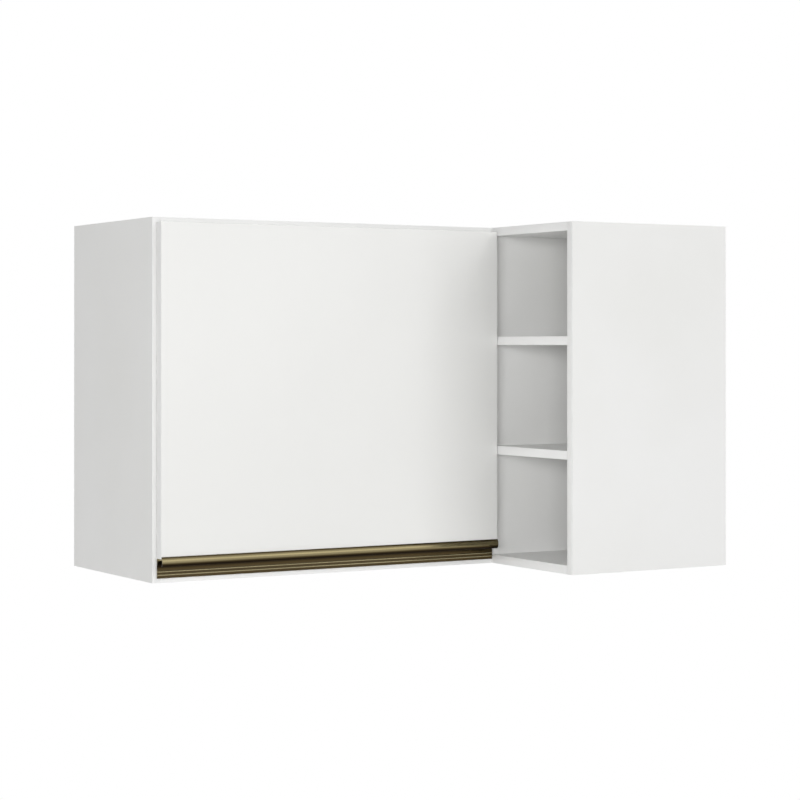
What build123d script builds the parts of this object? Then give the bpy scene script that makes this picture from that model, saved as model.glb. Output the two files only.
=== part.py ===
from build123d import *
from math import hypot, sqrt
import os

# Corner wall cabinet: a blind-corner run with a lift-up flap, and a short return with three open niches.
# Millimetres. X runs along the door run, Y points at the wall behind it, Z is up.
# The origin is the centre of the bounding box, at the underside.

# Driving dimensions: carcass
cabinet_width = 996
cabinet_height = 600
run_depth = 332  # wall to front, the same on both runs
return_reach = 249  # how far the return stands out in front of the door run
board = 15  # melamine-faced board
back_thickness = 3  # hardboard back
groove_depth = 7
groove_play = 0.4
back_play = 1  # round the hardboard, at the foot of its groove
niche_count = 3
rail_height = 80
rail_hole_radius = 3.5
rail_hole_inset = 90  # from the inner face of each side
rail_hole_drop = 30  # below the upper rail's top, and above the lower rail's foot
shelf_setback = 18  # inner shelf, behind the carcass front, just clear of the blind panel
shelf_play = 1
shelf_height = 292.5  # underside of the inner shelf

# Driving dimensions: joinery
dowel_radius = 4
dowel_flutes = 12
dowel_length = 30
dowel_grip = 10  # depth in the board that is bored through its face
dowel_play = 0.05
dowel_end_play = 1
cam_radius = 7.5
cam_depth = 12.5
cam_reach = 34  # from the joint to the cam's centre
cam_inset = 60  # from a board's corner to its first cam
cam_to_dowel = 32
cam_slot_width = 2
cam_slot_depth = 2.5
bolt_radius = 3
bolt_head_radius = 3.6
bolt_head_length = 3
bolt_bore_radius = 4
bolt_grip = 11  # length in the side board
pin_radius = 2.5
pin_length = 16
pin_seat = 8
pin_inset = 40  # from the shelf's front and back, and from the blind panel's edge

# Driving dimensions: flap
door_thickness = 18
door_gap = 2  # air behind the closed flap, kept by the bumpers
door_reveal = 8  # carcass edge left showing at the top
door_side_reveal = 7.5
door_end_gap = 2  # to the plane of the niche openings
door_edge_radius = 0.8
bumper_radius = 3.4
bumper_play = 0.2
bumper_bevel = 0.5
bumper_height = 60  # lower bumpers, above the flap's lower edge

# Driving dimensions: pull profile
pull_foot = 7.5  # underside of the profile, above the cabinet's underside
pull_lip = 44  # top of the lip that laps the flap's face
pull_lap = 3.5  # how far that lip laps the face
pull_wall = 1.5
pull_bulge = 4.3  # how far the hook stands out from the flap's face
pull_hook_radius = 12.5  # curve of the hook's front
pull_hook_wall = 1.4
pull_hook_swell = 8.1  # its furthest point, below the lip's top
pull_hook_drop = 16  # its lower edge, below the lip's top
pull_round = 0.6  # softened edges of the hook
pull_tongue = 9
pull_tongue_width = 2
pull_barb = 0.35
pull_barb_height = 1.6
pull_barb_count = 3
pull_rib_radius = 1.1
pull_rib_heights = (5.6, 11)  # above the foot
pull_corner = 3
kerf_relief = 1  # room above the tongue

# Driving dimensions: hinges
hinge_length = 60
hinge_count = 3
hinge_inset = 95  # from the flap's end to the first hinge's middle
leaf_thickness = 0.9
knuckle_radius = 2
knuckle_count = 3
knuckle_play = 0.3
hinge_pin_radius = 1
hinge_pin_play = 0.06
axis_drop = 2  # hinge axis below the flap's top edge
axis_depth = 0.6  # hinge axis in front of the flap's rear face
leaf_reach = 30
rebate_play = 0.5
shoulder_play = 0.4  # between a barrel and the other leaf
screw_spread = 20  # a leaf's screws, from its middle
screw_head_radius = 3.2

# Driving dimensions: gas strut
strut_offset = 16  # strut plane, from the left side's inner face
strut_foot_back = 45  # lower pivot, behind the carcass front
strut_foot_clear = 5.5  # lower bracket, above the inner shelf
strut_head_drop = 75  # upper pivot, below the hinge axis
strut_head_back = 18  # upper pivot, behind the carcass front
strut_pin_radius = 3
strut_pin_play = 0.08
strut_tube_radius = 9
strut_tube_wall = 1
strut_rod_radius = 4
strut_rod_play = 0.08
strut_piston_length = 8
strut_guide_length = 10
strut_eye_radius = 6.5
strut_eye_width = 6
strut_eye_reach = 12  # from a pivot to the tube's or rod's shoulder
strut_rod_show = 28  # rod left out of the tube when the flap is shut
strut_base = 2  # closed end of the tube
strut_rest = 3  # from that end to the piston when the flap is shut
strut_crimp = 1.5  # bevel of the tube's ends
strut_neck_step = 0.4  # the necks are this much slimmer than half the eye's width
strut_side_play = 0.3
strut_boss_radius = 5
strut_clip_radius = 4.5
strut_clip_thickness = 1.2
strut_ear_gap = 3  # from the eye to the door bracket's ear
strut_open_clearance = 0.5  # sideways room at the pivot that stays open
bracket_thickness = 2
bracket_width = 22
bracket_length = 44
bracket_ear_radius = 7
bracket_corner = 4
bracket_screw_spread = 15

# Places that follow from them
x_left = -cabinet_width / 2
x_right = cabinet_width / 2
x_niche = x_right - run_depth  # plane of the niche openings
x_inner_left = x_left + board
x_inner_right = x_right - board
y_wall = (run_depth + return_reach) / 2
y_face = y_wall - run_depth  # front edges of the door run
y_end = y_face - return_reach  # outer face of the return's end panel
y_inner_end = y_end + board
y_back_rear = y_wall - board  # hardboard lies in front of the hanging rails
y_back_front = y_back_rear - back_thickness
z_floor = board
z_ceiling = cabinet_height - board
x_stop = x_niche - board  # edge of the blind panel that stops the flap
niche_height = (z_ceiling - z_floor - (niche_count - 1) * board) / niche_count

door_left = x_left + door_side_reveal
door_right = x_niche - door_end_gap
door_width = door_right - door_left
door_top = cabinet_height - door_reveal
door_rear = y_face - door_gap
door_front = door_rear - door_thickness
door_bottom = pull_lip - pull_lap
axis_y = door_rear - axis_depth
axis_z = door_top - axis_drop

os.makedirs("parts", exist_ok=True)


def save(piece, name):
    piece.label = name
    export_step(piece, f"parts/{name}.step")


def slab(x0, x1, y0, y1, z0, z1):
    # A plain board between two corners.
    with BuildPart() as piece:
        with BuildSketch(Plane.XY.offset(z0)):
            with Locations(((x0 + x1) / 2, (y0 + y1) / 2)):
                Rectangle(x1 - x0, y1 - y0)
        extrude(amount=z1 - z0)
    return piece.part


def pegs(planes, radius, length, sink=0, flutes=0):
    # Pegs that start on their planes and run along the planes' normals, round or fluted.
    with BuildPart() as group:
        for plane in planes:
            with BuildSketch(plane.offset(-sink)):
                if flutes:
                    RegularPolygon(radius, flutes)
                else:
                    Circle(radius)
            extrude(amount=length)
    return group.part


# Joinery. Each deck joint is a point on the joint plane and the way into the side board.
LEFT, RIGHT, FRONT, BACK = Vector(-1, 0, 0), Vector(1, 0, 0), Vector(0, -1, 0), Vector(0, 1, 0)
deck_middles = {"top": z_ceiling + board / 2, "bottom": z_floor - board / 2}
deck_joints = [
    (x_inner_left, y_face + cam_inset, LEFT),
    (x_inner_left, y_wall - board - cam_inset, LEFT),
    (x_inner_right, y_inner_end + cam_inset, RIGHT),
    (x_inner_right, y_wall - board - cam_inset, RIGHT),
    ((x_niche + x_inner_right) / 2, y_inner_end, FRONT),
]


def along(direction):
    # The way from a deck joint's cam to its dowel.
    return Vector(0, 1, 0) if direction.X else Vector(1, 0, 0)


def joint_plane(x, y, z, direction):
    return Plane(origin=(x, y, z), x_dir=(0, 0, 1), z_dir=direction)


bolt_planes = []
dowel_planes = []
for middle in deck_middles.values():
    for x, y, direction in deck_joints:
        bolt_planes.append(joint_plane(x, y, middle, direction))
        step = along(direction) * cam_to_dowel
        if y > y_face + run_depth / 2:
            step = -step
        dowel_planes.append(joint_plane(x + step.X, y + step.Y, middle, direction))

# The blind panel is dowelled to both decks, and the niche shelves to the end panel.
blind_dowel_x = [x_stop + cam_inset, x_inner_right - cam_inset]
y_blind = y_face + board / 2
for x in blind_dowel_x:
    dowel_planes.append(Plane(origin=(x, y_blind, z_ceiling), z_dir=(0, 0, 1)))
    dowel_planes.append(Plane(origin=(x, y_blind, z_floor), z_dir=(0, 0, -1)))

niche_shelf_floors = [z_floor + (i + 1) * niche_height + i * board for i in range(niche_count - 1)]
niche_dowel_x = [x_niche + cam_inset, x_inner_right - cam_inset]
for z in niche_shelf_floors:
    for x in niche_dowel_x:
        dowel_planes.append(joint_plane(x, y_inner_end, z + board / 2, FRONT))

# The hanging rails sit behind the back, between the sides.
y_rail = y_wall - board / 2
rail_floors = {
    "hanging_rail_upper": z_ceiling - rail_height,
    "hanging_rail_lower": z_floor,
}
for z in rail_floors.values():
    dowel_planes.append(joint_plane(x_inner_left, y_rail, z + rail_height / 2, LEFT))
    dowel_planes.append(joint_plane(x_inner_right, y_rail, z + rail_height / 2, RIGHT))

dowel_sink = dowel_length - dowel_grip
dowels = pegs(dowel_planes, dowel_radius, dowel_length, dowel_sink, dowel_flutes)
dowel_bores = pegs(
    dowel_planes,
    dowel_radius + dowel_play,
    dowel_length + 2 * dowel_end_play,
    dowel_sink + dowel_end_play,
)
bolt_side_bores = pegs(bolt_planes, bolt_radius, bolt_grip)
bolt_deck_bores = pegs(bolt_planes, bolt_bore_radius, cam_reach, cam_reach)

# Cam bolts: a shank in the side board and a head that the cam draws in.
with BuildPart() as cam_bolts:
    for plane in bolt_planes:
        with BuildSketch(plane.offset(-cam_reach)):
            Circle(bolt_radius)
        extrude(amount=cam_reach + bolt_grip)
        with BuildSketch(plane.offset(-cam_reach - bolt_head_length / 2)):
            Circle(bolt_head_radius)
        extrude(amount=bolt_head_length)

# Cams: short cylinders let into the outer faces of the decks, so that the niches stay clean.
# Each has a slot in which the bolt's head rides, and a cross slot in the face that shows.
cam_faces = []
for plane in bolt_planes:
    centre = plane.origin - plane.z_dir * cam_reach
    on_top = centre.Z > cabinet_height / 2
    face = cabinet_height if on_top else 0
    cam_faces.append(Plane(origin=(centre.X, centre.Y, face), z_dir=(0, 0, -1 if on_top else 1)))
cam_bores = pegs(cam_faces, cam_radius, cam_depth)
head_room = bolt_head_length / 2 + dowel_end_play
cam_slot_height = 2 * bolt_bore_radius
with BuildPart() as cam_housings:
    add(cam_bores)
    for face in cam_faces:
        with BuildSketch(face):
            Rectangle(cam_radius * 1.5, cam_slot_width)
            Rectangle(cam_slot_width, cam_radius * 1.5)
        extrude(amount=cam_slot_depth, mode=Mode.SUBTRACT)
    for plane in bolt_planes:
        with BuildSketch(plane.offset(-cam_reach - head_room)):
            Rectangle(cam_slot_height, cam_slot_height)
        extrude(amount=head_room + cam_radius, mode=Mode.SUBTRACT)

save(dowels, "dowels")
save(cam_bolts.part, "cam_bolts")
save(cam_housings.part, "cam_housings")

# Grooves for the hardboard back: one loop round the inside of the door run.
with BuildPart() as back_groove:
    with BuildSketch(Plane.XZ.offset(-y_back_rear)):
        with Locations(((x_inner_left + x_inner_right) / 2, cabinet_height / 2)):
            Rectangle(
                x_inner_right - x_inner_left + 2 * groove_depth,
                z_ceiling - z_floor + 2 * groove_depth,
            )
    extrude(amount=back_thickness + groove_play)

# Shelf pins: plain steel pins in both sides and in the blind panel.
z_pin = shelf_height - pin_radius
y_pin_front = y_face + shelf_setback + pin_inset
y_pin_back = y_back_front - pin_inset
pin_planes = [
    joint_plane(x_inner_left, y_pin_front, z_pin, RIGHT),
    joint_plane(x_inner_left, y_pin_back, z_pin, RIGHT),
    joint_plane(x_inner_right, y_pin_front, z_pin, LEFT),
    joint_plane(x_inner_right, y_pin_back, z_pin, LEFT),
    joint_plane(x_stop + pin_inset, y_face + board, z_pin, BACK),
]
shelf_pins = pegs(pin_planes, pin_radius, pin_length, pin_seat)
pin_bores = pegs(pin_planes, pin_radius, pin_seat, pin_seat)
save(shelf_pins, "shelf_pins")


def countersinks(planes, thickness):
    # Countersunk screw holes, through a plate from its outer face.
    with BuildPart() as group:
        for plane in planes:
            with BuildSketch(plane):
                Circle(screw_head_radius)
            with BuildSketch(plane.offset(thickness)):
                Circle(screw_head_radius - thickness)
            loft()
    return group.part


def cut(blank, cutters):
    # A board with its bores, grooves and screw holes.
    with BuildPart() as piece:
        add(blank)
        for cutter in cutters:
            add(cutter, mode=Mode.SUBTRACT)
    return piece.part


# Hinge places, used by the boards and by the hinges themselves.
hinge_step = (door_width - 2 * hinge_inset) / (hinge_count - 1)
hinge_middles = {
    side: door_left + hinge_inset + i * hinge_step for i, side in enumerate(("left", "middle", "right"))
}
z_shoulder = axis_z - knuckle_radius - shoulder_play
top_screw_planes = []
door_screw_planes = []
for x_hinge in hinge_middles.values():
    for x in (x_hinge - screw_spread, x_hinge + screw_spread):
        top_screw_planes.append(
            Plane(origin=(x, y_face + leaf_reach / 2, z_ceiling - leaf_thickness), z_dir=(0, 0, 1))
        )
        door_screw_planes.append(
            joint_plane(x, door_rear + leaf_thickness, z_shoulder - leaf_reach / 2, FRONT)
        )
top_leaf_holes = countersinks(top_screw_planes, leaf_thickness)
door_leaf_holes = countersinks(door_screw_planes, leaf_thickness)

# Strut places. The strut stands in one plane beside the left side, and its head swings with the flap.
x_strut = x_inner_left + strut_offset
foot_z = shelf_height + board + strut_foot_clear + bracket_length / 2
foot_y = y_face + strut_foot_back
head_y = y_face + strut_head_back
head_z = axis_z - strut_head_drop
shut_length = hypot(head_y - foot_y, head_z - foot_z)
strut_way = Vector(0, head_y - foot_y, head_z - foot_z) / shut_length
x_plate = x_inner_left + bracket_thickness
x_ear = x_strut + strut_eye_width / 2 + strut_ear_gap
side_screw_planes = [
    joint_plane(x_plate, foot_y, foot_z - bracket_screw_spread, LEFT),
    joint_plane(x_plate, foot_y, foot_z + bracket_screw_spread, LEFT),
]
door_bracket_screw_x = x_ear + (bracket_thickness + bracket_width) / 2
door_bracket_screw_planes = [
    joint_plane(door_bracket_screw_x, door_rear + bracket_thickness, head_z - bracket_screw_spread, FRONT),
    joint_plane(door_bracket_screw_x, door_rear + bracket_thickness, head_z + bracket_screw_spread, FRONT),
]
side_bracket_holes = countersinks(side_screw_planes, bracket_thickness)
door_bracket_holes = countersinks(door_bracket_screw_planes, bracket_thickness)

# Sides and end panel of the carcass.
sides = {
    "left_side": (x_left, x_inner_left, y_face, y_wall),
    "right_side": (x_inner_right, x_right, y_inner_end, y_wall),
    "end_panel": (x_niche, x_right, y_end, y_inner_end),
}
for name, (x0, x1, y0, y1) in sides.items():
    blank = slab(x0, x1, y0, y1, 0, cabinet_height)
    cutters = [dowel_bores, bolt_side_bores]
    if name != "end_panel":
        cutters += [back_groove.part, pin_bores]
    save(cut(blank, cutters), name)

# Top and bottom are one L-shaped board each. The notch leaves the front of the door run free.
deck_outline = [
    (x_inner_left, y_face),
    (x_niche, y_face),
    (x_niche, y_inner_end),
    (x_inner_right, y_inner_end),
    (x_inner_right, y_wall),
    (x_inner_left, y_wall),
]
for name, z in (("top_panel", z_ceiling), ("bottom_panel", 0)):
    with BuildPart() as deck:
        with BuildSketch(Plane.XY.offset(z)):
            with BuildLine():
                Polyline(deck_outline, close=True)
            make_face()
        extrude(amount=board)
        for cutter in (back_groove.part, dowel_bores, bolt_deck_bores, cam_bores):
            add(cutter, mode=Mode.SUBTRACT)
    save(deck.part, name)

# The blind panel closes the corner. Its bare edge in front of the opening stops the flap.
blind_blank = slab(x_stop, x_inner_right, y_face, y_face + board, z_floor, z_ceiling)
save(cut(blind_blank, [dowel_bores, pin_bores]), "blind_panel")

# Shelves of the niches, and the loose shelf of the large compartment.
for name, z in zip(("niche_shelf_lower", "niche_shelf_upper"), niche_shelf_floors):
    niche_blank = slab(x_niche, x_inner_right, y_inner_end, y_face, z, z + board)
    save(cut(niche_blank, [dowel_bores]), name)

inner_shelf = slab(
    x_inner_left + shelf_play,
    x_inner_right - shelf_play,
    y_face + shelf_setback,
    y_back_front - shelf_play,
    shelf_height,
    shelf_height + board,
)
save(inner_shelf, "inner_shelf")

# Rails behind the back take the wall screws, and the back has the same holes.
rail_hole_planes = [
    joint_plane(x, y_back_front, z, BACK)
    for x in (x_inner_left + rail_hole_inset, x_inner_right - rail_hole_inset)
    for z in (z_floor + rail_hole_drop, z_ceiling - rail_hole_drop)
]
rail_holes = pegs(rail_hole_planes, rail_hole_radius, back_thickness + board)
for name, z in rail_floors.items():
    rail_blank = slab(x_inner_left, x_inner_right, y_back_rear, y_wall, z, z + rail_height)
    save(cut(rail_blank, [rail_holes, dowel_bores, pin_bores]), name)

back_edge = groove_depth - back_play
back_blank = slab(
    x_inner_left - back_edge,
    x_inner_right + back_edge,
    y_back_front,
    y_back_rear,
    z_floor - back_edge,
    z_ceiling + back_edge,
)
save(cut(back_blank, [rail_holes, pin_bores]), "back_panel")

# The flap: a board with a kerf in its lower edge for the pull, and a rebate for each hinge's barrels.
kerf_width = pull_tongue_width + 2 * pull_barb
y_kerf = (door_front + door_rear) / 2
with BuildPart() as door_panel:
    add(slab(door_left, door_right, door_front, door_rear, door_bottom, door_top))
    fillet(door_panel.faces().sort_by(Axis.Y)[0].edges(), door_edge_radius)
    with BuildSketch(Plane.XY.offset(door_bottom)):
        with Locations(((door_left + door_right) / 2, y_kerf)):
            Rectangle(door_width, kerf_width)
    extrude(amount=pull_tongue + kerf_relief, mode=Mode.SUBTRACT)
    for x_hinge in hinge_middles.values():
        half = hinge_length / 2 + rebate_play
        rebate_floor = axis_y - knuckle_radius - rebate_play
        rebate_foot = axis_z - knuckle_radius - rebate_play
        rebate = slab(x_hinge - half, x_hinge + half, rebate_floor, door_rear, rebate_foot, door_top)
        add(rebate, mode=Mode.SUBTRACT)
door_panel.part.label = "door_panel"
export_step(door_panel.part, "parts/door_panel.step")

# The pull: one extruded section. A barbed tongue sits in the flap's kerf, a lip laps its face and
# runs down into a curled hook, and a ribbed wall hangs behind, so that fingers reach up between them.
pull_floor = door_bottom - pull_wall
wall_front = door_rear - pull_wall
y_hook = door_front - pull_bulge + pull_hook_radius
z_swell = pull_lip - pull_hook_swell
z_tip = pull_lip - pull_hook_drop
hook_inner = pull_hook_radius - pull_hook_wall


def hook_point(radius, z):
    # Where a circle about the hook's centre crosses a height, on its front side.
    return (y_hook - sqrt(radius**2 - (z - z_swell) ** 2), z)


with BuildPart() as handle_profile:
    with BuildSketch(Plane.YZ.offset(door_left)) as section:
        with BuildLine():
            Polyline(
                hook_point(hook_inner, pull_floor),
                (wall_front, pull_floor),
                (wall_front, pull_foot),
                (door_rear, pull_foot),
                (door_rear, door_bottom),
                (door_front, door_bottom),
                (door_front, pull_lip),
                hook_point(pull_hook_radius, pull_lip),
            )
            ThreePointArc(
                hook_point(pull_hook_radius, pull_lip),
                hook_point(pull_hook_radius, z_swell),
                hook_point(pull_hook_radius, z_tip),
            )
            Line(hook_point(pull_hook_radius, z_tip), hook_point(hook_inner, z_tip))
            ThreePointArc(
                hook_point(hook_inner, z_tip),
                hook_point(hook_inner, z_swell),
                hook_point(hook_inner, pull_floor),
            )
        make_face()
        for radius in (pull_hook_radius, hook_inner):
            fillet(section.vertices().sort_by_distance(hook_point(radius, z_tip))[0], pull_round)
        fillet(section.vertices().sort_by_distance(hook_point(pull_hook_radius, pull_lip))[0], pull_round)
        fillet(section.vertices().sort_by_distance((wall_front, pull_floor))[0], pull_corner)
        with Locations((y_kerf, door_bottom)):
            Rectangle(pull_tongue_width, pull_tongue, align=(Align.CENTER, Align.MIN))
        for i in range(pull_barb_count):
            z = door_bottom + (i + 1) * pull_tongue / pull_barb_count - pull_barb_height
            with BuildLine():
                Polyline(
                    (y_kerf - kerf_width / 2, z),
                    (y_kerf + kerf_width / 2, z),
                    (y_kerf + pull_tongue_width / 2, z + pull_barb_height),
                    (y_kerf - pull_tongue_width / 2, z + pull_barb_height),
                    close=True,
                )
            make_face()
        with Locations([(wall_front, pull_foot + height) for height in pull_rib_heights]):
            Circle(pull_rib_radius)
    extrude(amount=door_width)
handle_profile.part.label = "handle_profile"
export_step(handle_profile.part, "parts/handle_profile.step")

# Bumpers between the flap and the carcass edges: on the left side and on the blind panel.
bumper_x = ((door_left + x_inner_left) / 2, (x_stop + door_right) / 2)
bumper_z = (door_bottom + bumper_height, door_top - bumper_height)
with BuildPart() as door_bumpers:
    for x in bumper_x:
        for z in bumper_z:
            with BuildSketch(joint_plane(x, door_rear, z, BACK)):
                Circle(bumper_radius)
            extrude(amount=door_gap - bumper_play)
    chamfer(door_bumpers.faces().group_by(Axis.Y)[-1].edges(), bumper_bevel)
door_bumpers.part.label = "door_bumpers"
export_step(door_bumpers.part, "parts/door_bumpers.step")

# Hinges: two leaves whose rolled barrels alternate on one pin. The top leaf lies under the top
# panel and turns up its front edge. The flap's leaf lies on the flap's rear face.
hinge_pin_planes = {
    side: Plane(origin=(x - hinge_length / 2, axis_y, axis_z), z_dir=(1, 0, 0))
    for side, x in hinge_middles.items()
}
knuckle = (hinge_length - (knuckle_count - 1) * knuckle_play) / knuckle_count
for side, pin_plane in hinge_pin_planes.items():
    x0 = pin_plane.origin.X
    x1 = x0 + hinge_length
    starts = [x0 + i * (knuckle + knuckle_play) for i in range(knuckle_count)]

    with BuildPart() as top_leaf:
        flange_front = y_face - leaf_thickness
        add(slab(x0, x1, flange_front, y_face + leaf_reach, z_ceiling - leaf_thickness, z_ceiling))
        add(slab(x0, x1, flange_front, y_face, z_ceiling, z_shoulder))
        for start in starts[0::2]:
            barrel_top = axis_z + knuckle_radius
            add(slab(start, start + knuckle, flange_front, y_face, z_shoulder, barrel_top))
            add(slab(start, start + knuckle, axis_y, y_face, barrel_top - leaf_thickness, barrel_top))
            with BuildSketch(pin_plane.offset(start - x0)):
                Circle(knuckle_radius)
            extrude(amount=knuckle)
        with BuildSketch(pin_plane):
            Circle(hinge_pin_radius)
        extrude(amount=hinge_length, mode=Mode.SUBTRACT)
        add(top_leaf_holes, mode=Mode.SUBTRACT)
    save(top_leaf.part, f"hinge_{side}_top_leaf")

    with BuildPart() as door_leaf:
        leaf_rear = door_rear + leaf_thickness
        add(slab(x0, x1, door_rear, leaf_rear, z_shoulder - leaf_reach, z_shoulder))
        for start in starts[1::2]:
            add(slab(start, start + knuckle, door_rear, leaf_rear, z_shoulder, axis_z))
            with BuildSketch(pin_plane.offset(start - x0)):
                Circle(knuckle_radius)
            extrude(amount=knuckle)
        with BuildSketch(pin_plane):
            Circle(hinge_pin_radius + hinge_pin_play)
        extrude(amount=hinge_length, mode=Mode.SUBTRACT)
        add(door_leaf_holes, mode=Mode.SUBTRACT)
    save(door_leaf.part, f"hinge_{side}_door_leaf")

    save(pegs([pin_plane], hinge_pin_radius, hinge_length), f"hinge_{side}_pin")

# Strut bracket on the left side: a plate with a stud that carries the cylinder's eye.
with BuildPart() as strut_side_bracket:
    with BuildSketch(joint_plane(x_inner_left, foot_y, foot_z, RIGHT)):
        RectangleRounded(bracket_length, bracket_width, bracket_corner)
    extrude(amount=bracket_thickness)
    eye_left = x_strut - strut_eye_width / 2
    eye_right = x_strut + strut_eye_width / 2
    x_clip = eye_right + strut_side_play
    stud = (
        (strut_boss_radius, x_plate, eye_left - strut_side_play),
        (strut_pin_radius, x_plate, x_clip),
        (strut_clip_radius, x_clip, x_clip + strut_clip_thickness),
    )
    for radius, x0, x1 in stud:
        with BuildSketch(joint_plane(x0, foot_y, foot_z, RIGHT)):
            Circle(radius)
        extrude(amount=x1 - x0)
    add(side_bracket_holes, mode=Mode.SUBTRACT)
strut_side_bracket.part.label = "strut_side_bracket"
export_step(strut_side_bracket.part, "parts/strut_side_bracket.step")

# Strut bracket on the flap: an angle whose ear carries the stud for the rod's eye.
with BuildPart() as strut_door_bracket:
    plate_plane = joint_plane(x_ear + bracket_width / 2, door_rear, head_z, BACK)
    with BuildSketch(plate_plane):
        Rectangle(bracket_length, bracket_width)
    extrude(amount=bracket_thickness)
    with BuildSketch(Plane.YZ.offset(x_ear)):
        with Locations((head_y, head_z)):
            Circle(bracket_ear_radius)
        with Locations((door_rear + bracket_thickness / 2, head_z)):
            Rectangle(bracket_thickness, bracket_length)
        make_hull()
    extrude(amount=bracket_thickness)
    stud_tip = eye_right + strut_open_clearance
    with BuildSketch(joint_plane(stud_tip, head_y, head_z, RIGHT)):
        Circle(strut_pin_radius)
    extrude(amount=x_ear - stud_tip)
    add(door_bracket_holes, mode=Mode.SUBTRACT)
strut_door_bracket.part.label = "strut_door_bracket"
export_step(strut_door_bracket.part, "parts/strut_door_bracket.step")

# Gas strut. Radii and distances from the foot pivot, turned round the strut's own line.
foot = Vector(x_strut, foot_y, foot_z)
strut_plane = Plane(origin=foot, x_dir=(1, 0, 0), z_dir=Vector(1, 0, 0).cross(strut_way))
strut_line = Axis(origin=foot, direction=strut_way)
tube_start = strut_eye_reach
tube_end = shut_length - strut_rod_show - strut_eye_radius
tube_inner = strut_tube_radius - strut_tube_wall
rod_start = tube_start + strut_base + strut_rest
guide_start = tube_end - strut_guide_length
neck_radius = strut_eye_width / 2 - strut_neck_step
neck_start = strut_eye_radius - neck_radius / 2
rod_end = shut_length - strut_eye_reach
pin_bore = strut_pin_radius + strut_pin_play


def strut_eye(distance):
    # A flat eye round the pivot at this distance from the foot.
    pivot = foot + strut_way * distance
    return pegs(
        [joint_plane(pivot.X - strut_eye_width / 2, pivot.Y, pivot.Z, RIGHT)],
        strut_eye_radius,
        strut_eye_width,
    ), pegs(
        [joint_plane(pivot.X - strut_eye_width, pivot.Y, pivot.Z, RIGHT)],
        pin_bore,
        strut_eye_width * 2,
    )


foot_eye, foot_bore = strut_eye(0)
with BuildPart() as strut_cylinder:
    with BuildSketch(strut_plane) as tube_section:
        with BuildLine():
            Polyline(
                (0, neck_start),
                (neck_radius, neck_start),
                (neck_radius, tube_start),
                (strut_tube_radius, tube_start),
                (strut_tube_radius, tube_end),
                (strut_rod_radius + strut_rod_play, tube_end),
                (strut_rod_radius + strut_rod_play, guide_start),
                (tube_inner, guide_start),
                (tube_inner, tube_start + strut_base),
                (0, tube_start + strut_base),
                close=True,
            )
        make_face()
        for end in (tube_start, tube_end):
            chamfer(tube_section.vertices().sort_by_distance((strut_tube_radius, end))[0], strut_crimp)
    revolve(axis=strut_line)
    add(foot_eye)
    add(foot_bore, mode=Mode.SUBTRACT)
strut_cylinder.part.label = "strut_cylinder"
export_step(strut_cylinder.part, "parts/strut_cylinder.step")

head_eye, head_bore = strut_eye(shut_length)
piston_radius = tube_inner - strut_rod_play
with BuildPart() as strut_rod:
    with BuildSketch(strut_plane):
        with BuildLine():
            Polyline(
                (0, rod_start),
                (piston_radius, rod_start),
                (piston_radius, rod_start + strut_piston_length),
                (strut_rod_radius, rod_start + strut_piston_length),
                (strut_rod_radius, rod_end),
                (neck_radius, rod_end),
                (neck_radius, shut_length - neck_start),
                (0, shut_length - neck_start),
                close=True,
            )
        make_face()
    revolve(axis=strut_line)
    add(head_eye)
    add(head_bore, mode=Mode.SUBTRACT)
strut_rod.part.label = "strut_rod"
export_step(strut_rod.part, "parts/strut_rod.step")
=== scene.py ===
import math

import bmesh
import bpy
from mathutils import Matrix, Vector


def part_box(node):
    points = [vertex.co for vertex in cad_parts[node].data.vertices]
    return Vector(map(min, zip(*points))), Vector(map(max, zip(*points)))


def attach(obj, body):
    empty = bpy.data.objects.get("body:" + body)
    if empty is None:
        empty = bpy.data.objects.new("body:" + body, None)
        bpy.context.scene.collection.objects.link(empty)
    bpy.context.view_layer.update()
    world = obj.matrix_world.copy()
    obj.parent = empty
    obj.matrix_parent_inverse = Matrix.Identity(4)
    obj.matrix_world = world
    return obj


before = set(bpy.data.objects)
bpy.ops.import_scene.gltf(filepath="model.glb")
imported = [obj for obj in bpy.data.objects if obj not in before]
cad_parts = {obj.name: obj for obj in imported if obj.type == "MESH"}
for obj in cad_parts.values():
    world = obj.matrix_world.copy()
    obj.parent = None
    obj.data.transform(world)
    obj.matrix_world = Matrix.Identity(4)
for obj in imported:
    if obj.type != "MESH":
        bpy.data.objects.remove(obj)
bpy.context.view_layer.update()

# Corner wall cabinet: white boards, a lift-up flap on a dark bronze pull, open niches on the return.
mm = 0.001
print("frame loaded:", len(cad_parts), "nodes")


def toLinear(hexColour):
    # sRGB hex to the linear values that sockets take, by the curve of the sRGB standard
    parts = [int(hexColour[i:i + 2], 16) / 255 for i in (1, 3, 5)]
    linear = [p / 12.92 if p <= 0.04045 else ((p + 0.055) / 1.055) ** 2.4 for p in parts]
    return (*linear, 1.0)


def addNode(tree, kind, settings=None, values=None, links=None, stops=None):
    # one node with its settings, the values of its sockets, what feeds it, and a ramp's stops
    node = tree.nodes.new(kind)
    for key, value in (settings or {}).items():
        setattr(node, key, value)
    for key, value in (values or {}).items():
        node.inputs[key].default_value = value
    for key, source in (links or {}).items():
        tree.links.new(source, node.inputs[key])
    for place, colour in stops or []:
        node.color_ramp.elements.new(place).color = toLinear(colour)
    if stops:
        # the ramp starts with a black and a white stop of its own
        ramp = node.color_ramp.elements
        ramp.remove(next(stop for stop in ramp if tuple(stop.color) == (0, 0, 0, 1)))
        ramp.remove(next(stop for stop in ramp if tuple(stop.color) == (1, 1, 1, 1)))
    return node


def newMaterial(name):
    # an empty material, and the object coordinates that its patterns lie on
    material = bpy.data.materials.new(name)
    material.use_nodes = True
    tree = material.node_tree
    tree.nodes.clear()
    return material, tree, addNode(tree, "ShaderNodeTexCoord").outputs["Object"]


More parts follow.
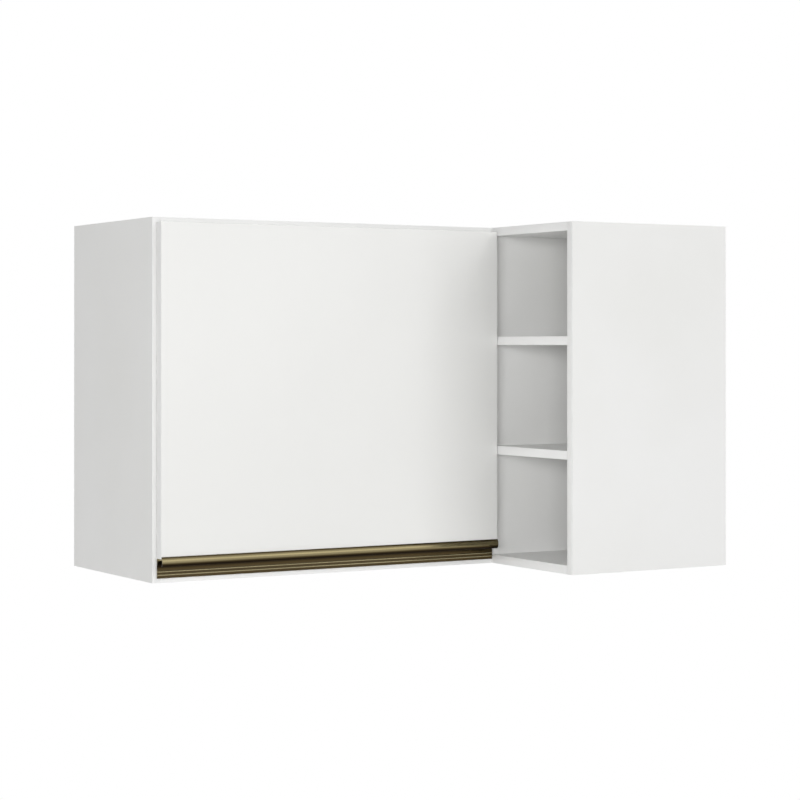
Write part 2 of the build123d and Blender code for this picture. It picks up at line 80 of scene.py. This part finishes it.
def dress(names, material):
    # a CAD node takes its finish in its own material slots
    for name in names:
        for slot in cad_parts[name].material_slots:
            slot.material = material


# Shared by the finishes. Noise gathers round a half, so a ramp goes from its dark tone to its light one
# between the two values of a turn. Radii, depths and grains are in millimetres.
turn, wideTurn = (0.35, 0.65), (0.3, 0.7)
cornerRays = 4
plasticBend = 1.5

# Boards. Melamine paper is pressed on particle board against an etched steel plate: a dry white with a
# fine pebbled grain of about 0.4 mm, drawn coarser so that it shows. The flap's plate was smoother, so
# it mirrors what stands near it in a blurred way. The edge tape is rolled plastic, a touch brighter.
boards = {
    "whiteMelaminePressed": {
        "tones": ("#EBEBE9", "#EFEFEE"), "rough": 0.48, "spread": 0.16,
        "grain": 1.4, "depth": 0.05, "round": 0.2,
    },
    "whiteFlapSmoothPressed": {
        "tones": ("#EAEAE8", "#ECECEA"), "rough": 0.24, "spread": 0.04,
        "grain": 6.0, "depth": 0.002, "round": 0.6,
    },
    "whiteEdgeTapeRolled": {
        "tones": ("#ECECEB", "#EFEFEE"), "rough": 0.36, "spread": 0.10,
        "grain": 2.0, "depth": 0.02, "round": 0.15,
    },
}
pressed = {"cloudsPerMetre": 3.0, "cloudDetail": 3.0, "grainDetail": 4.0, "strength": 0.35}


def boardFinish(name):
    # wide clouds shift the tone, and the grain shifts the gloss and lifts the surface
    look = boards[name]
    material, tree, place = newMaterial(name)
    cloud = addNode(
        tree, "ShaderNodeTexNoise", links={"Vector": place},
        values={"Scale": pressed["cloudsPerMetre"], "Detail": pressed["cloudDetail"]}
    )
    grain = addNode(
        tree, "ShaderNodeTexNoise", links={"Vector": place},
        values={"Scale": 1 / (look["grain"] * mm), "Detail": pressed["grainDetail"]}
    )
    colour = addNode(
        tree, "ShaderNodeValToRGB", links={0: cloud.outputs[0]}, stops=list(zip(turn, look["tones"]))
    )
    shine = addNode(
        tree, "ShaderNodeMath", {"operation": "MULTIPLY_ADD"},
        {1: look["spread"], 2: look["rough"] - look["spread"] / 2}, {0: grain.outputs[0]}
    )
    corner = addNode(tree, "ShaderNodeBevel", {"samples": cornerRays}, {"Radius": look["round"] * mm})
    bump = addNode(
        tree, "ShaderNodeBump", values={"Strength": pressed["strength"], "Distance": look["depth"] * mm},
        links={"Height": grain.outputs[0], "Normal": corner.outputs[0]}
    )
    shader = addNode(
        tree, "ShaderNodeBsdfPrincipled", values={"IOR": plasticBend},
        links={"Base Color": colour.outputs[0], "Roughness": shine.outputs[0], "Normal": bump.outputs[0]}
    )
    addNode(tree, "ShaderNodeOutputMaterial", links={0: shader.outputs[0]})
    return material


melamine = boardFinish("whiteMelaminePressed")
flapFinish = boardFinish("whiteFlapSmoothPressed")
tapeFinish = boardFinish("whiteEdgeTapeRolled")

# The back. Its fibres lie along X, so the pattern is drawn out that way.
hardboard = {
    "tones": ("#DDDBD5", "#E9E8E4"), "rough": 0.58, "fibresPerMetre": 420.0, "detail": 6.0,
    "drawn": (0.35, 1.0, 1.0), "strength": 0.4, "depth": 0.1,
}


def hardboardFinish():
    # Wood fibre pressed wet, lacquered white on its smooth face: warmer and duller than the boards,
    # with fibres that show through the lacquer as faint flecks a few millimetres long.
    material, tree, place = newMaterial("hardboardWhiteLacquered")
    drawn = addNode(tree, "ShaderNodeMapping", values={"Scale": hardboard["drawn"]}, links={"Vector": place})
    fibre = addNode(
        tree, "ShaderNodeTexNoise", links={"Vector": drawn.outputs[0]},
        values={"Scale": hardboard["fibresPerMetre"], "Detail": hardboard["detail"]}
    )
    colour = addNode(
        tree, "ShaderNodeValToRGB", links={0: fibre.outputs[0]}, stops=list(zip(wideTurn, hardboard["tones"]))
    )
    bump = addNode(
        tree, "ShaderNodeBump", links={"Height": fibre.outputs[0]},
        values={"Strength": hardboard["strength"], "Distance": hardboard["depth"] * mm}
    )
    shader = addNode(
        tree, "ShaderNodeBsdfPrincipled", values={"Roughness": hardboard["rough"], "IOR": plasticBend},
        links={"Base Color": colour.outputs[0], "Normal": bump.outputs[0]}
    )
    addNode(tree, "ShaderNodeOutputMaterial", links={0: shader.outputs[0]})
    return material


# The dowels. Beech is dark in fewer places than light, so its turn ends sooner.
beech = {
    "tones": ("#B98F62", "#D9B88C"), "turn": (0.35, 0.6), "rough": 0.6,
    "flecksPerMetre": 500.0, "detail": 5.0,
}


def beechFinish():
    # Beech, turned and fluted: pale pinkish brown, with darker ray flecks about 2 mm long.
    material, tree, place = newMaterial("beechFluted")
    fleck = addNode(
        tree, "ShaderNodeTexNoise", links={"Vector": place},
        values={"Scale": beech["flecksPerMetre"], "Detail": beech["detail"]}
    )
    colour = addNode(
        tree, "ShaderNodeValToRGB", links={0: fleck.outputs[0]},
        stops=list(zip(beech["turn"], beech["tones"]))
    )
    shader = addNode(
        tree, "ShaderNodeBsdfPrincipled", values={"Roughness": beech["rough"]},
        links={"Base Color": colour.outputs[0]}
    )
    addNode(tree, "ShaderNodeOutputMaterial", links={0: shader.outputs[0]})
    return material


# The pull. Four tones, and the heights on the section where each is full, from the foot of the rear wall up
# to
# the lip of the grip: the bronze's brown, painted highlights on the two ribs and on the roll of the grip, and
# painted shade in the channel under the roll. The brushed lines have their own gap, length, tones and relief.
pull = {
    "foot": 7.5, "lip": 44.0, "rough": 0.19, "spread": 0.08, "round": 0.7,
    "lineGap": 0.5, "linesPerMetre": 6.0, "lineDetail": 3.0, "lineTones": ("#D2D2D2", "#FEFEFE"),
    "lineStrength": 0.25, "lineDepth": 0.02,
    "tones": {"ribHighlight": "#C0B592", "rollHighlight": "#9F936F", "brown": "#564930", "dark": "#281F14"},
    "bands": [
        (8.5, "brown"), (11.3, "brown"), (13.1, "ribHighlight"), (14.8, "brown"), (16.7, "brown"), (18.5, "ribHighlight"),
        (20.3, "brown"), (23.0, "brown"), (26.5, "dark"), (30.5, "dark"), (32.6, "brown"), (35.2, "rollHighlight"),
        (40.0, "rollHighlight"), (42.5, "brown"), (43.5, "brown"),
    ],
}


def bronzeFinish():
    # Aluminium extruded, then brushed along its length and anodised an old bronze: a satin metal with
    # fine lines along X, about 0.2 mm apart and drawn at 0.5 mm. Bands of colour up the section paint light
    # and shade on it: painted highlights on the two ribs and the roll, painted shade in the channel between
    # them.
    material, tree, place = newMaterial("aluminiumBronzeAnodised")
    axes = addNode(tree, "ShaderNodeSeparateXYZ", links={0: place})
    height = addNode(
        tree, "ShaderNodeMapRange", values={1: pull["foot"] * mm, 2: pull["lip"] * mm},
        links={0: axes.outputs["Z"]}
    )
    section = pull["lip"] - pull["foot"]
    # colour bands by height: painted highlights on the ribs and the roll, painted shade in the channel under
    # the roll
    paintedLightBands = addNode(
        tree, "ShaderNodeValToRGB", links={0: height.outputs[0]},
        stops=[((z - pull["foot"]) / section, pull["tones"][tone]) for z, tone in pull["bands"]]
    )
    across = 1 / (pull["lineGap"] * mm)
    along = addNode(
        tree, "ShaderNodeMapping", values={"Scale": (pull["linesPerMetre"], across, across)},
        links={"Vector": place}
    )
    lines = addNode(
        tree, "ShaderNodeTexNoise", values={"Scale": 1.0, "Detail": pull["lineDetail"]},
        links={"Vector": along.outputs[0]}
    )
    scoured = addNode(
        tree, "ShaderNodeValToRGB", links={0: lines.outputs[0]}, stops=list(zip(wideTurn, pull["lineTones"]))
    )
    colour = addNode(
        tree, "ShaderNodeMix", {"data_type": "RGBA", "blend_type": "MULTIPLY"}, {0: 1.0},
        {6: paintedLightBands.outputs[0], 7: scoured.outputs[0]}
    )
    shine = addNode(
        tree, "ShaderNodeMath", {"operation": "MULTIPLY_ADD"},
        {1: pull["spread"], 2: pull["rough"] - pull["spread"] / 2}, {0: lines.outputs[0]}
    )
    corner = addNode(tree, "ShaderNodeBevel", {"samples": cornerRays}, {"Radius": pull["round"] * mm})
    bump = addNode(
        tree, "ShaderNodeBump", values={"Strength": pull["lineStrength"], "Distance": pull["lineDepth"] * mm},
        links={"Height": lines.outputs[0], "Normal": corner.outputs[0]}
    )
    shader = addNode(
        tree, "ShaderNodeBsdfPrincipled", values={"Metallic": 1.0},
        links={"Base Color": colour.outputs[2], "Roughness": shine.outputs[0], "Normal": bump.outputs[0]}
    )
    addNode(tree, "ShaderNodeOutputMaterial", links={0: shader.outputs[0]})
    return material


# Fittings: zinc cast and tumbled is matt and mottled, nickel-plated steel is bright with soft handling
# marks, and the hard-chromed rod is nearly a mirror.
metals = {
    "zincDieCastTumbled": {
        "tones": ("#8E9092", "#A9ABAD"), "rough": 0.50, "spread": 0.16, "marks": 0.8, "round": 0.3,
    },
    "steelNickelPlated": {
        "tones": ("#B9B8B4", "#C5C4C0"), "rough": 0.30, "spread": 0.10, "marks": 6.0, "round": 0.4,
    },
    "steelHardChromed": {
        "tones": ("#C9CCD0", "#D8DADD"), "rough": 0.12, "spread": 0.04, "marks": 8.0, "round": 1.2,
    },
}
handled = {"detail": 4.0, "strength": 0.2, "depth": 0.01}


def metalFinish(name):
    # one pattern of marks for the tone, the gloss and the relief
    look = metals[name]
    material, tree, place = newMaterial(name)
    marks = addNode(
        tree, "ShaderNodeTexNoise", links={"Vector": place},
        values={"Scale": 1 / (look["marks"] * mm), "Detail": handled["detail"]}
    )
    colour = addNode(
        tree, "ShaderNodeValToRGB", links={0: marks.outputs[0]}, stops=list(zip(turn, look["tones"]))
    )
    shine = addNode(
        tree, "ShaderNodeMath", {"operation": "MULTIPLY_ADD"},
        {1: look["spread"], 2: look["rough"] - look["spread"] / 2}, {0: marks.outputs[0]}
    )
    corner = addNode(tree, "ShaderNodeBevel", {"samples": cornerRays}, {"Radius": look["round"] * mm})
    bump = addNode(
        tree, "ShaderNodeBump", values={"Strength": handled["strength"], "Distance": handled["depth"] * mm},
        links={"Height": marks.outputs[0], "Normal": corner.outputs[0]}
    )
    shader = addNode(
        tree, "ShaderNodeBsdfPrincipled", values={"Metallic": 1.0},
        links={"Base Color": colour.outputs[0], "Roughness": shine.outputs[0], "Normal": bump.outputs[0]}
    )
    addNode(tree, "ShaderNodeOutputMaterial", links={0: shader.outputs[0]})
    return material


# The strut's tube.
enamel = {
    "tones": ("#141415", "#1C1C1E"), "rough": 0.32, "round": 1.5,
    "peelsPerMetre": 650.0, "detail": 2.0, "strength": 0.3, "depth": 0.04,
}


def enamelFinish():
    # Black enamel stoved on drawn tube: deep and half glossy, with an orange peel of about 1.5 mm.
    material, tree, place = newMaterial("tubeBlackEnamelled")
    peel = addNode(
        tree, "ShaderNodeTexNoise", links={"Vector": place},
        values={"Scale": enamel["peelsPerMetre"], "Detail": enamel["detail"]}
    )
    colour = addNode(
        tree, "ShaderNodeValToRGB", links={0: peel.outputs[0]}, stops=list(zip(turn, enamel["tones"]))
    )
    corner = addNode(tree, "ShaderNodeBevel", {"samples": cornerRays}, {"Radius": enamel["round"] * mm})
    bump = addNode(
        tree, "ShaderNodeBump", values={"Strength": enamel["strength"], "Distance": enamel["depth"] * mm},
        links={"Height": peel.outputs[0], "Normal": corner.outputs[0]}
    )
    shader = addNode(
        tree, "ShaderNodeBsdfPrincipled", values={"Roughness": enamel["rough"]},
        links={"Base Color": colour.outputs[0], "Normal": bump.outputs[0]}
    )
    addNode(tree, "ShaderNodeOutputMaterial", links={0: shader.outputs[0]})
    return material


# The bumpers. A share of the light goes within, as far as the reach.
vinyl = {
    "tones": ("#DADAD5", "#E6E6E2"), "rough": 0.4, "within": 0.2, "reach": 2.0,
    "hazePerMetre": 300.0, "detail": 2.0,
}


def vinylFinish():
    # Vinyl moulded soft for the bumpers: milky, and the light goes a little way in.
    material, tree, place = newMaterial("vinylMilkyMoulded")
    haze = addNode(
        tree, "ShaderNodeTexNoise", links={"Vector": place},
        values={"Scale": vinyl["hazePerMetre"], "Detail": vinyl["detail"]}
    )
    colour = addNode(
        tree, "ShaderNodeValToRGB", links={0: haze.outputs[0]}, stops=list(zip(turn, vinyl["tones"]))
    )
    shader = addNode(
        tree, "ShaderNodeBsdfPrincipled", links={"Base Color": colour.outputs[0]},
        values={
            "Roughness": vinyl["rough"], "Subsurface Weight": vinyl["within"],
            "Subsurface Radius": [vinyl["reach"] * mm] * 3,
        }
    )
    addNode(tree, "ShaderNodeOutputMaterial", links={0: shader.outputs[0]})
    return material


nickel = metalFinish("steelNickelPlated")
dress([
    "left_side", "right_side", "end_panel", "top_panel", "bottom_panel", "blind_panel", "niche_shelf_lower",
    "niche_shelf_upper", "inner_shelf", "hanging_rail_upper", "hanging_rail_lower",
], melamine)
dress(["door_panel"], flapFinish)
dress(["back_panel"], hardboardFinish())
dress(["dowels"], beechFinish())
dress(["handle_profile"], bronzeFinish())
dress(["cam_housings"], metalFinish("zincDieCastTumbled"))
for side in ("left", "middle", "right"):
    dress([f"hinge_{side}_top_leaf", f"hinge_{side}_door_leaf", f"hinge_{side}_pin"], nickel)
dress(["cam_bolts", "shelf_pins", "strut_side_bracket", "strut_door_bracket"], nickel)
dress(["strut_cylinder"], enamelFinish())
dress(["strut_rod"], metalFinish("steelHardChromed"))
dress(["door_bumpers"], vinylFinish())
print("boards and fittings have their finishes")


def clearSelection():
    if bpy.context.object and bpy.context.object.mode != "OBJECT":
        bpy.ops.object.mode_set(mode="OBJECT")
    bpy.ops.object.select_all(action="DESELECT")


def pickFaces(obj, wanted):
    # faces chosen in edit mode by where they are or which way they look
    bpy.ops.mesh.select_mode(type="FACE")
    bpy.ops.mesh.select_all(action="DESELECT")
    mesh = bmesh.from_edit_mesh(obj.data)
    for face in mesh.faces:
        face.select_set(wanted(face))
    bmesh.update_edit_mesh(obj.data)


def finishPiece(obj, name, material, body):
    # the place goes into the mesh, and the piece rides on its body
    clearSelection()
    obj.select_set(True)
    bpy.context.view_layer.objects.active = obj
    bpy.ops.object.transform_apply(location=True, rotation=True, scale=True)
    obj.name = name
    obj.data.materials.clear()
    obj.data.materials.append(material)
    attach(obj, body)


# Edge tape on the board edges that show. Faces that meet at less than the smooth angle shade as one.
tape = {"thickness": 0.4 * mm, "round": 0.18 * mm, "steps": 2, "smooth": math.radians(40)}


def edgeTape(name, low, high, body="carcass"):
    # a strip of rolled plastic with its long edges scraped round
    clearSelection()
    bpy.ops.mesh.primitive_cube_add(size=1, location=[(a + b) / 2 for a, b in zip(low, high)])
    strip = bpy.context.object
    strip.scale = [b - a for a, b in zip(low, high)]
    bpy.ops.object.transform_apply(location=False, rotation=False, scale=True)
    bpy.ops.object.mode_set(mode="EDIT")
    bpy.ops.mesh.select_all(action="SELECT")
    bpy.ops.mesh.bevel(offset=tape["round"], segments=tape["steps"], affect="EDGES")
    bpy.ops.object.mode_set(mode="OBJECT")
    bpy.ops.object.shade_smooth_by_angle(angle=tape["smooth"])
    finishPiece(strip, name, tapeFinish, body)


leftLow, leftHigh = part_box("left_side")
topLow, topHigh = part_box("top_panel")
bottomLow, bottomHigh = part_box("bottom_panel")
endLow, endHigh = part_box("end_panel")
doorLow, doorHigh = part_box("door_panel")
innerLow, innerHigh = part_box("inner_shelf")
frontY, nicheX = leftLow[1], endLow[0]
tapeY, tapeX = frontY - tape["thickness"], nicheX - tape["thickness"]
edgeTape("tapeLeftSide", (leftLow[0], tapeY, leftLow[2]), (leftHigh[0], frontY, leftHigh[2]))
edgeTape("tapeTopFront", (leftHigh[0], tapeY, topLow[2]), (tapeX, frontY, topHigh[2]))
edgeTape("tapeBottomFront", (leftHigh[0], tapeY, bottomLow[2]), (tapeX, frontY, bottomHigh[2]))
edgeTape("tapeEndPanel", (tapeX, endLow[1], endLow[2]), (nicheX, endHigh[1], endHigh[2]))
innerTapeY = innerLow[1] - tape["thickness"]
edgeTape("tapeInnerShelf", (innerLow[0], innerTapeY, innerLow[2]), (innerHigh[0], innerLow[1], innerHigh[2]))
nicheBoards = {
    "Top": "top_panel", "Bottom": "bottom_panel",
    "ShelfLower": "niche_shelf_lower", "ShelfUpper": "niche_shelf_upper",
}
for name, node in nicheBoards.items():
    low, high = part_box(node)
    edgeTape("tapeNiche" + name, (tapeX, endHigh[1], low[2]), (nicheX, frontY, high[2]))
flapEnds = {
    "Left": (doorLow[0] - tape["thickness"], doorLow[0]),
    "Right": (doorHigh[0], doorHigh[0] + tape["thickness"]),
}
for name, (start, end) in flapEnds.items():
    edgeTape("tapeFlap" + name, (start, *doorLow[1:]), (end, *doorHigh[1:]), "flap")
print("edge tape on")


# Countersunk screws of the hinge leaves and of the strut's two brackets. The rim and the ring round the
# cross are shares of the head's radius, and each arm spreads by its degrees to either side. A face looks
# up where its normal is above the level.
screws = {
    "leaf": {"head": 3.1 * mm, "root": 2.2 * mm, "deep": 0.9 * mm, "recess": 0.6 * mm},
    "plate": {"head": 3.1 * mm, "root": 1.1 * mm, "deep": 2.0 * mm, "recess": 1.2 * mm},
    "sides": 24, "rim": 0.08, "ring": 0.3, "arm": 16, "level": 0.9, "smooth": math.radians(35),
    "alongLeaf": 20 * mm, "acrossLeaf": 15 * mm, "alongPlate": 15 * mm, "fromPlateEnd": 10 * mm,
}


def looksUp(face):
    return face.normal.z > screws["level"]


def inCross(face):
    # one of the poked triangles that lie in the four arms of the cross
    middle = face.calc_center_median()
    angle = math.degrees(math.atan2(middle.y, middle.x)) % 90
    return len(face.verts) == 3 and looksUp(face) and min(angle, 90 - angle) < screws["arm"]


def turnScrew(kind):
    # one flat head with a cross recess, its face at the origin and looking up
    sizes = screws[kind]
    clearSelection()
    bpy.ops.mesh.primitive_cone_add(
        vertices=screws["sides"], radius1=sizes["root"], radius2=sizes["head"], depth=sizes["deep"],
        end_fill_type="NGON", location=(0, 0, -sizes["deep"] / 2)
    )
    head = bpy.context.object
    bpy.ops.object.transform_apply(location=True, rotation=False, scale=False)
    bpy.ops.object.mode_set(mode="EDIT")
    pickFaces(head, looksUp)
    bpy.ops.mesh.inset(thickness=sizes["head"] * screws["rim"])
    bpy.ops.mesh.inset(thickness=sizes["head"] * screws["ring"])
    bpy.ops.mesh.poke()
    pickFaces(head, inCross)
    bpy.ops.mesh.extrude_region_move(TRANSFORM_OT_translate={"value": (0, 0, -sizes["recess"])})
    bpy.ops.mesh.select_all(action="SELECT")
    bpy.ops.mesh.normals_make_consistent(inside=False)
    bpy.ops.object.mode_set(mode="OBJECT")
    bpy.ops.object.shade_smooth_by_angle(angle=screws["smooth"])
    return head


def setScrew(head, name, place, outward, body):
    # a copy of the head, flush with the plate that it holds
    screw = head.copy()
    screw.data = head.data.copy()
    bpy.context.collection.objects.link(screw)
    screw.rotation_mode = "QUATERNION"
    screw.rotation_quaternion = Vector(outward).to_track_quat("Z", "Y")
    screw.location = place
    finishPiece(screw, name, nickel, body)


leafHead, plateHead = turnScrew("leaf"), turnScrew("plate")
leafDeep, plateDeep = screws["leaf"]["deep"], screws["plate"]["deep"]
for side in ("left", "middle", "right"):
    leafLow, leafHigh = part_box(f"hinge_{side}_door_leaf")
    for number, along in enumerate((-screws["alongLeaf"], screws["alongLeaf"]), 1):
        x = (leafLow[0] + leafHigh[0]) / 2 + along
        underLeaf = (x, frontY + screws["acrossLeaf"], topLow[2] - leafDeep)
        behindLeaf = (x, doorHigh[1] + leafDeep, leafLow[2] + screws["acrossLeaf"])
        setScrew(leafHead, f"screwTopLeaf{side.capitalize()}{number}", underLeaf, (0, 0, -1), "carcass")
        setScrew(leafHead, f"screwDoorLeaf{side.capitalize()}{number}", behindLeaf, (0, 1, 0), "flap")
sideLow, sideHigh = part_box("strut_side_bracket")
plateLow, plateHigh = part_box("strut_door_bracket")
sideX, sideY = sideLow[0] + plateDeep, (sideLow[1] + sideHigh[1]) / 2
doorX, doorY = plateHigh[0] - screws["fromPlateEnd"], plateLow[1] + plateDeep
for number, along in enumerate((-screws["alongPlate"], screws["alongPlate"]), 1):
    onSide = (sideX, sideY, (sideLow[2] + sideHigh[2]) / 2 + along)
    onDoor = (doorX, doorY, (plateLow[2] + plateHigh[2]) / 2 + along)
    setScrew(plateHead, f"screwSideBracket{number}", onSide, (1, 0, 0), "carcass")
    setScrew(plateHead, f"screwDoorBracket{number}", onDoor, (0, 1, 0), "flap")
for head in (leafHead, plateHead):
    bpy.data.objects.remove(head)
print("screws in")


# Pale floor well under the hung cabinet, an even dome and four large soft lamps. The wide key lamp hangs
# level with the niches, so that no shelf shades the one below it. The top lamp throws the return's soft
# shadow on the flap, and is flagged off from the metal. The front lamp gives the pull its sheen, and the
# back lamp lights the side that hangs on the wall. The floor fades to white from near to far, and has a
# haze of it from the start.
room = {
    "drop": 1.4, "size": 60.0, "white": "#F4F4F3", "near": 1.4, "far": 3.2, "haze": 0.45, "dome": 0.295,
    "aim": (0, 0, 0.3),
}
lamps = {
    "keyLamp": {"place": (-3.9, -4.3, 0.75), "size": (3.6, 1.2), "power": 163, "mirrored": True},
    "topLamp": {"place": (1.8, -4.6, 3.2), "size": (2.8, 2.0), "power": 64, "mirrored": False},
    "frontLamp": {"place": (1.6, -4.6, 1.1), "size": (3.0, 1.6), "power": 12, "mirrored": True},
    "backLamp": {"place": (1.6, 3.4, 3.6), "size": (3.0, 2.0), "power": 110, "mirrored": True},
}


def seenRays(tree):
    # one for what the camera, a mirror or glass sees, and nothing for the light that falls on the cabinet
    rays = addNode(tree, "ShaderNodeLightPath").outputs
    seen = rays["Is Camera Ray"]
    for kind in ("Is Glossy Ray", "Is Transmission Ray"):
        most = addNode(tree, "ShaderNodeMath", {"operation": "MAXIMUM"}, links={0: seen, 1: rays[kind]})
        seen = most.outputs[0]
    return seen


def paleFloor():
    # matt near the cabinet, where its shadow falls, and running out to the white background
    clearSelection()
    bpy.ops.mesh.primitive_plane_add(size=room["size"], location=(0, 0, -room["drop"]))
    floor = bpy.context.object
    floor.name = "floor"
    material, tree, place = newMaterial("floorPaleMatt")
    matt = addNode(tree, "ShaderNodeBsdfDiffuse", values={"Color": toLinear(room["white"])})
    white = addNode(tree, "ShaderNodeEmission", values={"Strength": 1.0})
    reach = addNode(tree, "ShaderNodeVectorMath", {"operation": "LENGTH"}, links={0: place})
    fade = addNode(
        tree, "ShaderNodeMapRange", values={1: room["near"], 2: room["far"], 3: room["haze"]},
        links={0: reach.outputs["Value"]}
    )
    share = addNode(
        tree, "ShaderNodeMath", {"operation": "MULTIPLY"}, links={0: fade.outputs[0], 1: seenRays(tree)}
    )
    mix = addNode(
        tree, "ShaderNodeMixShader", links={0: share.outputs[0], 1: matt.outputs[0], 2: white.outputs[0]}
    )
    addNode(tree, "ShaderNodeOutputMaterial", links={0: mix.outputs[0]})
    floor.data.materials.append(material)


def studioDome():
    # lights evenly, and is plain white where it is seen or mirrored
    world = bpy.data.worlds.new("studioDome")
    bpy.context.scene.world = world
    world.use_nodes = True
    tree = world.node_tree
    tree.nodes.clear()
    lit, white = [
        addNode(tree, "ShaderNodeBackground", values={"Color": (1, 1, 1, 1), "Strength": strength})
        for strength in (room["dome"], 1.0)
    ]
    mix = addNode(
        tree, "ShaderNodeMixShader", links={0: seenRays(tree), 1: lit.outputs[0], 2: white.outputs[0]}
    )
    addNode(tree, "ShaderNodeOutputWorld", links={0: mix.outputs[0]})


def softBox(name):
    # a large lamp that faces the middle of the cabinet
    lampData = bpy.data.lights.new(name, "AREA")
    lampData.shape = "RECTANGLE"
    lampData.size, lampData.size_y = lamps[name]["size"]
    lampData.energy = lamps[name]["power"]
    lamp = bpy.data.objects.new(name, lampData)
    lamp.location = lamps[name]["place"]
    lamp.rotation_mode = "QUATERNION"
    lamp.rotation_quaternion = (Vector(room["aim"]) - lamp.location).to_track_quat("-Z", "Y")
    lamp.visible_glossy = lamps[name]["mirrored"]
    bpy.context.collection.objects.link(lamp)


paleFloor()
studioDome()
for name in lamps:
    softBox(name)

# The photograph's viewpoint, worked out from the cabinet's own straight edges.
viewpoint = {
    "place": (-1.9801, -3.3132, 0.3890), "turn": -30.853, "tilt": 0.148,
    "lens": 98.14, "sensor": 36.0, "shift": -0.075, "far": 200,
}
cameraData = bpy.data.cameras.new("camera")
cameraData.sensor_width = viewpoint["sensor"]
cameraData.lens = viewpoint["lens"]
cameraData.shift_y = viewpoint["shift"]
cameraData.clip_end = viewpoint["far"]
camera = bpy.data.objects.new("camera", cameraData)
camera.location = viewpoint["place"]
camera.rotation_euler = (math.radians(90 + viewpoint["tilt"]), 0, math.radians(viewpoint["turn"]))
bpy.context.collection.objects.link(camera)
bpy.context.scene.camera = camera
bpy.context.scene.view_settings.view_transform = "Standard"
print("floor, light and camera set")
